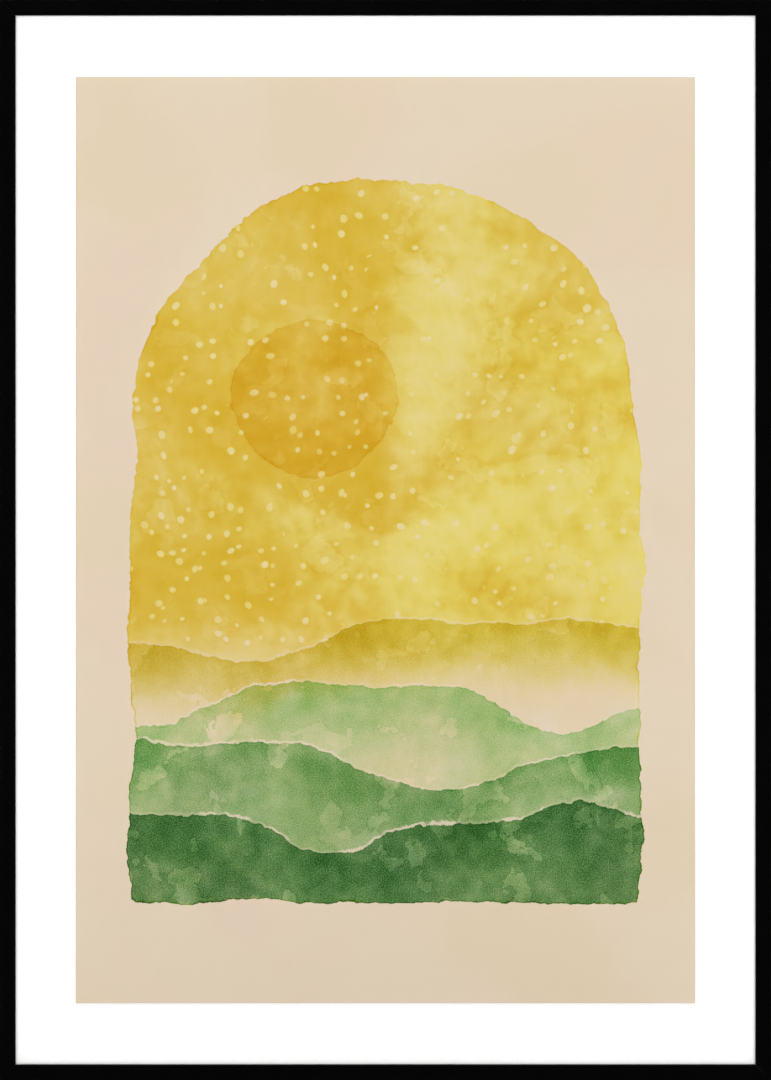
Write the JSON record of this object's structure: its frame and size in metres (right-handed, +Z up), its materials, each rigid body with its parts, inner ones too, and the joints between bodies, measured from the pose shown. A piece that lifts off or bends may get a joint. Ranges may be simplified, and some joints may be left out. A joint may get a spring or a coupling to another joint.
{
  "type": "framed print",
  "caption": "Slim black wall frame with a print behind a white mat and clear glazing, a backing board held by turn clips, and a toothed hanger.",
  "frame": {"origin": "on the wall, behind the top rail, where a nail carries the hanger's middle notch", "axes": "+Z up, the print faces -Y, +X to the right as seen from the front"},
  "size_m": [0.5, 0.0192, 0.7001],
  "materials": {
    "black_lacquer": "satin",
    "bare_steel": "satin",
    "clear_acrylic": "polished",
    "white_mat": "matte",
    "print_paper": "matte",
    "grey_board": "matte",
    "hardboard": "matte",
    "zinc_steel": "satin",
    "brassed_steel": "satin",
    "grey_felt": "matte"
  },
  "bodies": {
    "frame": {"rail_top": "black_lacquer", "rail_right": "black_lacquer", "rail_bottom": "black_lacquer", "rail_left": "black_lacquer", "corner_wedge_top_right": "bare_steel", "corner_wedge_bottom_right": "bare_steel", "corner_wedge_bottom_left": "bare_steel", "corner_wedge_top_left": "bare_steel", "glazing": "clear_acrylic", "mat": "white_mat", "print_sheet": "print_paper", "filler_board": "grey_board", "backing_board": "hardboard", "clip_screw_top_1": "brassed_steel", "clip_screw_top_2": "brassed_steel", "clip_screw_right_1": "brassed_steel", "clip_screw_right_2": "brassed_steel", "clip_screw_right_3": "brassed_steel", "clip_screw_bottom_1": "brassed_steel", "clip_screw_bottom_2": "brassed_steel", "clip_screw_left_1": "brassed_steel", "clip_screw_left_2": "brassed_steel", "clip_screw_left_3": "brassed_steel", "hanger": "zinc_steel", "hanger_pin_left": "brassed_steel", "hanger_pin_right": "brassed_steel", "felt_bumper_left": "grey_felt", "felt_bumper_right": "grey_felt"},
    "turn_clip_top_1": {"turn_clip_top_1": "zinc_steel"},
    "turn_clip_top_2": {"turn_clip_top_2": "zinc_steel"},
    "turn_clip_right_1": {"turn_clip_right_1": "zinc_steel"},
    "turn_clip_right_2": {"turn_clip_right_2": "zinc_steel"},
    "turn_clip_right_3": {"turn_clip_right_3": "zinc_steel"},
    "turn_clip_bottom_1": {"turn_clip_bottom_1": "zinc_steel"},
    "turn_clip_bottom_2": {"turn_clip_bottom_2": "zinc_steel"},
    "turn_clip_left_1": {"turn_clip_left_1": "zinc_steel"},
    "turn_clip_left_2": {"turn_clip_left_2": "zinc_steel"},
    "turn_clip_left_3": {"turn_clip_left_3": "zinc_steel"}
  },
  "joints": [
    {"name": "clip_top_1_turn", "type": "hinge", "parent": "frame", "child": "turn_clip_top_1", "pos_m": [-0.135, -0.0025, 0.0018], "axis": [0, 1, 0], "continuous": true},
    {"name": "clip_top_2_turn", "type": "hinge", "parent": "frame", "child": "turn_clip_top_2", "pos_m": [0.135, -0.0025, 0.0018], "axis": [0, 1, 0], "continuous": true},
    {"name": "clip_right_1_turn", "type": "hinge", "parent": "frame", "child": "turn_clip_right_1", "pos_m": [0.24665, -0.0025, -0.11485], "axis": [0, 1, 0], "continuous": true},
    {"name": "clip_right_2_turn", "type": "hinge", "parent": "frame", "child": "turn_clip_right_2", "pos_m": [0.24665, -0.0025, -0.34485], "axis": [0, 1, 0], "continuous": true},
    {"name": "clip_right_3_turn", "type": "hinge", "parent": "frame", "child": "turn_clip_right_3", "pos_m": [0.24665, -0.0025, -0.57485], "axis": [0, 1, 0], "continuous": true},
    {"name": "clip_bottom_1_turn", "type": "hinge", "parent": "frame", "child": "turn_clip_bottom_1", "pos_m": [0.135, -0.0025, -0.6915], "axis": [0, 1, 0], "continuous": true},
    {"name": "clip_bottom_2_turn", "type": "hinge", "parent": "frame", "child": "turn_clip_bottom_2", "pos_m": [-0.135, -0.0025, -0.6915], "axis": [0, 1, 0], "continuous": true},
    {"name": "clip_left_1_turn", "type": "hinge", "parent": "frame", "child": "turn_clip_left_1", "pos_m": [-0.24665, -0.0025, -0.57485], "axis": [0, 1, 0], "continuous": true},
    {"name": "clip_left_2_turn", "type": "hinge", "parent": "frame", "child": "turn_clip_left_2", "pos_m": [-0.24665, -0.0025, -0.34485], "axis": [0, 1, 0], "continuous": true},
    {"name": "clip_left_3_turn", "type": "hinge", "parent": "frame", "child": "turn_clip_left_3", "pos_m": [-0.24665, -0.0025, -0.11485], "axis": [0, 1, 0], "continuous": true}
  ]
}
